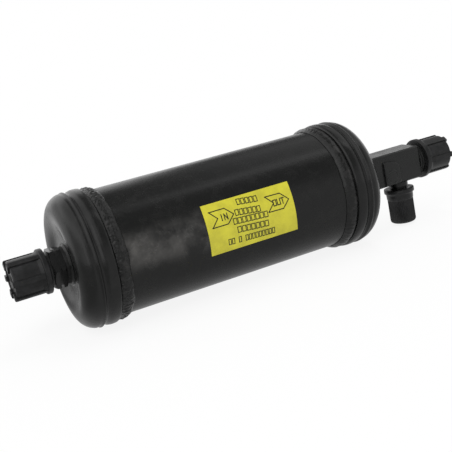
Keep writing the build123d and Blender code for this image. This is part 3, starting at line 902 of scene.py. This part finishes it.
@dataclass
class FlowLabel:
    """The print of the flow label: two direction arrows and rows of blank boxes.

    A flat point has an X along the shell and an arc, up the shell's front from the axis' level.
    """

    ink: Any
    radius: float = 38.255
    lift: float = 0.025
    sink: float = -0.01
    line: float = 0.62
    fine_line: float = 0.52
    bend_length: float = 0.9
    arrow_length: float = 14.8
    arrow_height: float = 9.4
    notch: float = 4.4
    shoulder: float = 4.8
    inlet_arrow: Row = (-11.5, 9.1, 0.0)
    outlet_arrow: Row = (25.4, 8.4, -0.02)
    inlet_word: Span = (-10.6, 9.0)
    outlet_word: Span = (25.9, 8.3)
    letter_height: float = 3.4
    letter_width: float = 1.9
    letter_gap: float = 0.8
    box_height: float = 3.3
    box_gap: float = 0.75
    rows: Tuple[Tuple[Stroke, Tuple[int, ...]], ...] = (
        ((0.0, 15.3, 12.9, 13.9), (5,)),
        ((-3.0, 9.5, 13.1, 7.7), (6,)),
        ((-5.4, 4.8, 17.0, 3.4), (8,)),
        ((-3.8, -0.5, 16.4, -2.0), (7,)),
        ((-10.7, -6.3, 19.8, -7.5), (2, 1, 9)),
    )
    letters: Dict[str, List[Stroke]] = field(default_factory=lambda: {
        "I": [(0.5, 0.0, 0.5, 1.0)],
        "N": [(0.0, 0.0, 0.0, 1.0), (0.0, 1.0, 1.0, 0.0), (1.0, 0.0, 1.0, 1.0)],
        "O": [(0.0, 0.0, 0.0, 1.0), (0.0, 1.0, 1.0, 1.0), (1.0, 1.0, 1.0, 0.0), (1.0, 0.0, 0.0, 0.0)],
        "U": [(0.0, 1.0, 0.0, 0.0), (0.0, 0.0, 1.0, 0.0), (1.0, 0.0, 1.0, 1.0)],
        "T": [(0.0, 1.0, 1.0, 1.0), (0.5, 1.0, 0.5, 0.0)],
    })

    def wrap(self, x: float, arc: float, out: float) -> Point:
        """Return the place of a flat point, at a distance out from the label."""
        radius, angle = self.radius + out, arc / SHELL_RADIUS
        return x, -radius * math.cos(angle), radius * math.sin(angle)

    def outline(self, points: Sequence[Span]) -> List[Stroke]:
        """Return the strokes of a closed outline."""
        return [(*a, *b) for a, b in zip(points, list(points[1:]) + [points[0]])]

    def arrow(self, x: float, arc: float, slope: float) -> List[Stroke]:
        """Return the outline of one arrow that points to the outlet.

        Args:
            x: middle of the arrow.
            arc: middle of the arrow, along the arc.
            slope: how it climbs along x.

        Returns:
            The strokes.
        """
        half, tall = self.arrow_length / 2, self.arrow_height / 2
        flat = [(-half, tall), (half - self.shoulder, tall), (half, 0.0), (half - self.shoulder, -tall),
                (-half, -tall), (-half + self.notch, 0.0)]
        return self.outline([(x + u, arc + v + slope * u) for u, v in flat])

    def word(self, text: str, x: float, arc: float) -> List[Stroke]:
        """Return the strokes of IN or OUT, centred on a point.

        Args:
            text: the word.
            x: its middle.
            arc: its middle, along the arc.

        Returns:
            The strokes.
        """
        pitch = self.letter_width + self.letter_gap
        start = x - (pitch * len(text) - self.letter_gap) / 2
        low = arc - self.letter_height / 2
        strokes = []
        for place, letter in enumerate(text):
            left = start + place * pitch
            for x0, y0, x1, y1 in self.letters[letter]:
                strokes.append((left + x0 * self.letter_width, low + y0 * self.letter_height,
                                left + x1 * self.letter_width, low + y1 * self.letter_height))
        return strokes

    def row(self, span: Stroke, groups: Sequence[int]) -> List[Stroke]:
        """Return the blank boxes of one row.

        Args:
            span: ends of the row's middle line.
            groups: how many boxes each group has.

        Returns:
            The strokes.
        """
        x0, arc0, x1, arc1 = span
        cells = sum(groups) + len(groups) - 1
        pitch = (x1 - x0 + self.box_gap) / cells
        strokes: List[Stroke] = []
        cell = 0
        for count in groups:
            for _ in range(count):
                left = x0 + cell * pitch
                right = left + pitch - self.box_gap
                middle = arc0 + (arc1 - arc0) * (cell + 0.5) / cells
                low, high = middle - self.box_height / 2, middle + self.box_height / 2
                strokes += self.outline([(left, low), (right, low), (right, high), (left, high)])
                cell += 1
            cell += 1
        return strokes

    def press(self, name: str, strokes: Sequence[Stroke], width: float) -> Any:
        """Make one printed piece of strokes.

        Args:
            name: the piece's name.
            strokes: the strokes, in x and arc.
            width: width of a stroke.

        Returns:
            The piece.
        """
        verts: List[Point] = []
        faces: Faces = []
        half = width / 2
        for x0, arc0, x1, arc1 in strokes:
            length = math.hypot(x1 - x0, arc1 - arc0)
            ux, ua = (x1 - x0) / length, (arc1 - arc0) / length
            steps = max(1, round(length / self.bend_length))
            base = len(verts)
            for i in range(steps + 1):
                run = -half + (length + width) * i / steps
                cx, ca = x0 + ux * run, arc0 + ua * run
                for side in (-half, half):
                    for out in (self.sink, self.lift):
                        verts.append(self.wrap(cx - ua * side, ca + ux * side, out))
            for i in range(steps):
                a, b = base + 4 * i, base + 4 * i + 4
                faces += [(a + 1, a + 3, b + 3, b + 1), (a, b, b + 2, a + 2), (a, a + 1, b + 1, b),
                          (a + 2, b + 2, b + 3, a + 3)]
            last = base + 4 * steps
            faces += [(base, base + 2, base + 3, base + 1), (last, last + 1, last + 3, last + 2)]
        piece = new_piece(name, verts, faces, self.ink, smooth=False)
        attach(piece, "vessel")
        return piece

    def build(self) -> List[Any]:
        """Make all the print.

        Returns:
            The pieces.
        """
        arrows = self.arrow(*self.inlet_arrow) + self.arrow(*self.outlet_arrow)
        words = self.word("IN", *self.inlet_word) + self.word("OUT", *self.outlet_word)
        boxes = [stroke for span, groups in self.rows for stroke in self.row(span, groups)]
        return [self.press("label_arrows", arrows, self.line),
                self.press("label_words", words, self.line),
                self.press("label_boxes", boxes, self.fine_line)]


# --- threads, spring and knurled cap


@dataclass
class ThreadRidge:
    """The screw thread that stands on a plain stub, and runs out at both ends."""

    name: str
    finish: Any
    centre: Point
    axis: Point
    start: float
    end: float
    radius: float
    pitch: float
    height: float = 0.2
    section: Profile = ((-0.36, -0.05), (-0.12, 1.0), (0.12, 1.0), (0.36, -0.05))
    steps: int = 64
    fade_steps: int = 24
    least_share: float = 0.05

    def build(self) -> Any:
        """Make the ridge.

        Returns:
            The piece.
        """
        axis = Vector(self.axis)
        side, other = across(axis)
        count = int((self.end - self.start) / self.pitch * self.steps)
        verts: List[Point] = []
        for i in range(count + 1):
            angle = 2 * math.pi * i / self.steps
            fade = min(1.0, i / self.fade_steps, (count - i) / self.fade_steps)
            tall = self.least_share + (1.0 - self.least_share) * fade
            middle = self.start + self.pitch * i / self.steps
            out = side * math.cos(angle) + other * math.sin(angle)
            for along, rise in self.section:
                reach = self.radius + self.height * rise * tall
                verts.append((Vector(self.centre) + axis * (middle + along * self.pitch) + out * reach)[:])
        faces = ring_faces(count + 1, 4)
        faces += [(0, 1, 2, 3), (4 * count + 3, 4 * count + 2, 4 * count + 1, 4 * count)]
        piece = new_piece(self.name, verts, faces, self.finish)
        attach(piece, "vessel")
        return piece


@dataclass
class CoreSpring:
    """The valve core's spring, copied from the plain one. The real spring shortens as the pin is pressed;
    the travel, in metres, is not used.
    """

    finish: Any
    travel: float = 0.0013

    def build(self) -> Any:
        """Make the spring and let it stand for the plain one.

        Returns:
            The piece.
        """
        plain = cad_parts["valve_core_spring"]
        piece = bpy.data.objects.new("valve_core_spring_coil", plain.data.copy())
        piece.data.materials.clear()
        piece.data.materials.append(self.finish)
        bpy.context.scene.collection.objects.link(piece)
        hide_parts("valve_core_spring")
        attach(piece, "vessel")
        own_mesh(piece)
        return piece


@dataclass
class KnurledCap:
    """The service cap: a smooth flange and collar over a finely knurled skirt.

    Rows of the mouth and the flange have a depth from the mouth and a radius. Rows of the
    crown have a height over the end, a drop from the skirt's radius and their share of knurl.
    """

    finish: Any
    station: float = 137.5
    mouth: float = -15.9
    length: float = 23.9
    bore_radius: float = 5.85
    bore_depth: float = 21.1
    lead_in: float = 0.4
    lead_in_depth: float = 0.5
    flange: Profile = (
        (0.05, 9.5), (0.35, 9.75), (0.08, 9.98), (0.45, 10.2), (2.55, 10.2), (2.88, 10.02), (3.0, 9.7),
        (3.2, 9.3), (3.6, 9.1), (4.6, 9.05), (6.9, 8.95), (7.3, 8.85), (7.5, 8.72))
    skirt: float = 8.7
    skirt_start: float = 7.9
    skirt_middle: float = 14.0
    crown: Tuple[Row, ...] = (
        (2.0, 0.0, 1.0), (1.3, 0.12, 0.9), (0.75, 0.42, 0.6), (0.35, 0.85, 0.25), (0.1, 1.4, 0.05),
        (0.0, 2.0, 0.0))
    flat_radius: float = 3.0
    teeth: int = 46
    tooth_depth: float = 0.55
    tooth_power: float = 0.8
    per_tooth: int = 8
    least_radius: float = 0.01

    def section(self) -> List[Row]:
        """Return depth from the mouth, radius and knurl share of each row."""
        bore, edge = self.bore_radius, self.flange[0][0]
        rows = [(self.bore_depth, 0.0, 0.0), (self.bore_depth, bore, 0.0),
                (self.lead_in_depth, bore, 0.0), (edge, bore + self.lead_in, 0.0)]
        rows += [(depth, radius, 0.0) for depth, radius in self.flange]
        rows += [(self.skirt_start, self.skirt, 1.0), (self.skirt_middle, self.skirt, 1.0)]
        rows += [(self.length - rise, self.skirt - drop, knurl) for rise, drop, knurl in self.crown]
        return rows + [(self.length, self.flat_radius, 0.0)]

    def build(self) -> Any:
        """Make the cap and let it stand for the plain one.

        Returns:
            The piece.
        """
        columns = self.teeth * self.per_tooth
        rows = self.section()
        verts: List[Point] = []
        for depth, radius, knurl in rows:
            for j, angle in enumerate(circle(columns)):
                wave = 0.5 - 0.5 * math.cos(2 * math.pi * j / self.per_tooth)
                groove = self.tooth_depth * knurl * wave ** self.tooth_power
                reach = max(radius - groove, self.least_radius)
                verts.append((self.station + reach * math.cos(angle), reach * math.sin(angle),
                              self.mouth - depth))
        verts += [(self.station, 0.0, self.mouth - depth) for depth in (self.bore_depth, self.length)]
        faces = ring_faces(len(rows), columns) + fan_faces(len(rows), columns)
        piece = new_piece("service_cap_knurled", verts, faces, self.finish)
        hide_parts("service_cap")
        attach(piece, "service_cap")
        return piece


# --- studio


@dataclass
class Studio:
    """Floor, lamps, world and camera.

    Mirrored rays see the floor and the room graded by place or direction, where a plain white
    one would wash out black paint. The camera sees both white.
    """

    floor_level: float = -41.5
    floor_size: float = 4000.0
    floor_gloss: float = 0.85
    floor_shade: Tuple[float, Span] = (0.26, (-45.0, 5.0))
    floor_rise: float = 0.42
    floor_edge: float = 0.2
    floor_right: Span = (-125.0, -92.0)
    floor_back: Span = (125.0, 185.0)
    contact: float = 0.88
    contact_span: Span = (120.0, 380.0)
    ambient: float = 0.66
    lens: float = 68.63
    sensor: float = 36.0
    eye: Point = (-200.334, -483.417, 117.014)
    eye_turn: Point = (76.55997, 11.2135, -25.72212)
    room_level: float = 0.105

    def camera(self) -> None:
        """Set the camera."""
        data = bpy.data.cameras.new("camera")
        data.sensor_fit = "HORIZONTAL"
        data.sensor_width = self.sensor
        data.lens = self.lens
        data.clip_start = 0.01
        data.clip_end = 20.0
        eye = bpy.data.objects.new("camera", data)
        turn = Euler([math.radians(angle) for angle in self.eye_turn]).to_matrix().to_4x4()
        turn.translation = Vector(self.eye) * MM
        eye.matrix_world = turn
        bpy.context.scene.collection.objects.link(eye)
        bpy.context.scene.camera = eye

    def floor(self) -> None:
        """Make the pale floor, white to the camera and darker in mirrors near the drier."""
        g = Graph("floor_white")
        where = g.place()
        x, y, _ = g.axes(where)
        tone = g.noise(where, Grain(300.0))
        colour = g.blend(tone, (0.93, 0.93, 0.93), (0.95, 0.95, 0.95))
        shader = g.put("ShaderNodeBsdfPrincipled", Base_Color=colour, Roughness=0.9 + (tone - 0.5) * 0.05,
                       Specular_IOR_Level=0.1)
        path = g.put("ShaderNodeLightPath")
        seen = Value(g, path.outputs["Is Camera Ray"])
        mirrored = Value(g, path.outputs["Is Glossy Ray"])
        least, shade = self.floor_shade
        near = least + g.step(y, shade) * self.floor_rise
        edge = 1.0 - self.floor_edge
        far = self.floor_edge + g.step(x, self.floor_right) * edge + g.step(y, self.floor_back) * edge
        glow = g.put("ShaderNodeEmission", Color=WHITE, Strength=seen + mirrored * (near * g.clamp(far)))
        spot = g.put("ShaderNodeVectorMath", {"operation": "LENGTH"}, Vector=where)
        away = g.step(Value(g, spot.outputs["Value"]), self.contact_span)
        lit = seen * (self.contact + away * (1.0 - self.contact)) + mirrored * self.floor_gloss
        mix = g.put("ShaderNodeMixShader")
        for socket, value in zip(mix.inputs, (lit, shader.outputs[0], glow.outputs[0])):
            g.feed(socket, value)
        g.put("ShaderNodeOutputMaterial", Surface=mix.outputs[0])
        size, level = self.floor_size, self.floor_level
        corners = [(-size, -size, level), (size, -size, level), (size, size, level), (-size, size, level)]
        floor = new_piece("studio_floor", corners, [(0, 1, 2, 3)], g.material, smooth=False)

    def gloss(self, g: Graph) -> Value:
        """Return what mirrored rays see of the room.

        Args:
            g: the world's graph.

        Returns:
            The brightness, 0 to 1.
        """
        coords = g.put("ShaderNodeTexCoord")
        x, y, z = g.axes(coords.outputs["Generated"])
        left, near = -x, -y
        front = g.step(near, (0.2, 0.6)) * (1 - g.step(z, (0.20, 0.62))) * 0.25
        right = g.step(x, (0.55, 0.85)) * 0.28
        overhead = g.step(z, (0.45, 0.7)) * g.step(x, (0.30, 0.46)) * g.step(y, (-0.3, 0.05)) * 0.30
        strip = g.step(z, (0.6, 0.8)) * g.band(y, (-0.27, -0.15), (-0.10, 0.0))
        strip = strip * (0.19 + g.step(x, (0.2, 0.5)) * 0.75)
        side = g.step(left, (0.35, 0.8)) * 0.34
        slit = g.band(left, (0.46, 0.52), (0.62, 0.68)) * g.step(near, (0.2, 0.5)) * 0.65
        crown = g.step(z, (0.35, 0.62)) * (1 - g.step(x, (-0.08, 0.12))) * 0.5
        backdrop = g.step(y, (0.10, 0.50)) * (1 - g.step(z, (0.18, 0.38))) * 0.8
        window = g.step(y, (0.2, 0.6)) * (1 - g.step(x, (0.25, 0.37)))
        window = window * (1 - g.step(z, (0.45, 0.80))) * 0.95
        aside = 0.45 + g.step(x, (-0.45, -0.10)) * 0.55
        total = self.room_level + front + right + overhead + strip + side + slit + crown
        return g.clamp(total + g.clamp(backdrop + window) * aside)

    def world(self) -> None:
        """Set the room: white to the eye, a dim room with a pale backdrop to the gloss."""
        world = bpy.data.worlds.new("surround")
        bpy.context.scene.world = world
        world.use_nodes = True
        g = Graph("surround", world.node_tree)
        path = g.put("ShaderNodeLightPath")
        spread = Value(g, path.outputs["Is Diffuse Ray"]) * self.ambient
        seen = Value(g, path.outputs["Is Camera Ray"])
        mirrored = Value(g, path.outputs["Is Glossy Ray"]) * self.gloss(g)
        level = seen + (1 - seen) * (spread + mirrored)
        glow = g.put("ShaderNodeBackground", Color=WHITE, Strength=level)
        g.put("ShaderNodeOutputWorld", Surface=glow.outputs[0])

    def lamp(self, name: str, place: Point, size: Span, power: float) -> None:
        """Add one soft box that points at the drier and shows in no mirror.

        Args:
            name: the lamp's name.
            place: where it stands, in metres.
            size: its width and height, in metres.
            power: its power, in watts.
        """
        data = bpy.data.lights.new(name, "AREA")
        data.shape = "RECTANGLE"
        data.size, data.size_y = size
        data.energy = power
        lamp = bpy.data.objects.new(name, data)
        lamp.location = place
        lamp.rotation_euler = (-Vector(place)).to_track_quat("-Z", "Y").to_euler()
        lamp.visible_glossy = False
        bpy.context.scene.collection.objects.link(lamp)

    def build(self) -> None:
        """Make the whole studio."""
        self.camera()
        self.floor()
        self.world()
        self.lamp("key_box", (-0.5, -0.9, 1.1), (1.0, 0.8), 8.0)
        self.lamp("top_box", (0.3, -0.1, 1.3), (0.9, 0.2), 3.0)
        bpy.context.scene.view_settings.view_transform = "Standard"


# --- dressing


@dataclass
class DrierDressing:
    """Gives every solid that stays its finish."""

    finishes: Finishes
    plan: Dict[str, Tuple[str, ...]] = field(default_factory=lambda: {
        "shell": ("shell_tube",),
        "fitting": ("inlet_fitting", "service_port"),
        "weld": ("inlet_fitting_weld", "outlet_block_weld"),
        "block": ("outlet_block",),
        "plastic": ("inlet_cap", "outlet_cap"),
        "rubber": ("inlet_cap_seal", "outlet_cap_seal", "service_cap_seal", "valve_core_seal"),
        "brass": ("valve_core_body",),
        "spring": ("valve_core_pin", "bed_spring"),
        "bed": ("desiccant_bed",),
        "felt": ("inlet_filter_pad", "outlet_filter_pad"),
        "plate": ("inlet_perforated_plate", "outlet_perforated_plate", "strainer_screen"),
        "film": ("flow_label",),
    })

    def build(self) -> None:
        """Put each finish on its solid."""
        for finish, nodes in self.plan.items():
            for node in nodes:
                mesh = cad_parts[node].data
                mesh.materials.clear()
                mesh.materials.append(getattr(self.finishes, finish))


def main() -> None:
    """Build every piece in order and report it."""
    logging.basicConfig(level=logging.INFO, format="%(name)s: %(message)s")
    finishes = Finishes()
    Studio().build()
    DrierDressing(finishes).build()
    middle, port_radius, port_pitch, service_pitch = (0.0, 0.0, 0.0), INCH * 3 / 8, INCH / 16, INCH / 20
    pieces = [
        DrawnHead(Side.INLET, finishes.head).build(),
        DrawnHead(Side.OUTLET, finishes.head).build(),
        SeamWeld(Side.INLET, finishes.weld, seed=3.0, ripple_depth=0.40, lump_depth=0.42,
                 toe_wander=0.6).build(),
        SeamWeld(Side.OUTLET, finishes.weld, seed=11.0, ripple_depth=0.16, lump_depth=0.16,
                 toe_wander=0.4).build(),
        ThreadRidge("inlet_thread", finishes.fitting, middle, (-1.0, 0.0, 0.0), start=108.4, end=122.6,
                    radius=port_radius, pitch=port_pitch).build(),
        ThreadRidge("outlet_thread", finishes.block, middle, (1.0, 0.0, 0.0), start=152.6, end=168.2,
                    radius=port_radius, pitch=port_pitch).build(),
        ThreadRidge("service_thread", finishes.fitting, (137.5, 0.0, 0.0), (0.0, 0.0, -1.0), start=14.6,
                    end=34.6, radius=5.55, pitch=service_pitch, height=0.18).build(),
        CoreSpring(finishes.spring).build(),
        KnurledCap(finishes.plastic).build(),
        CapEnd(Side.INLET, finishes.plastic, mouth=109.85).build(),
        CapEnd(Side.OUTLET, finishes.plastic, mouth=155.5).build(),
    ]
    pieces += BlockPad(finishes.block).build()
    pieces += FlowLabel(finishes.ink).build()
    for piece in pieces:
        LOG.info("%s: %d faces", piece.name, len(piece.data.polygons))


if __name__ == "__main__":
    main()
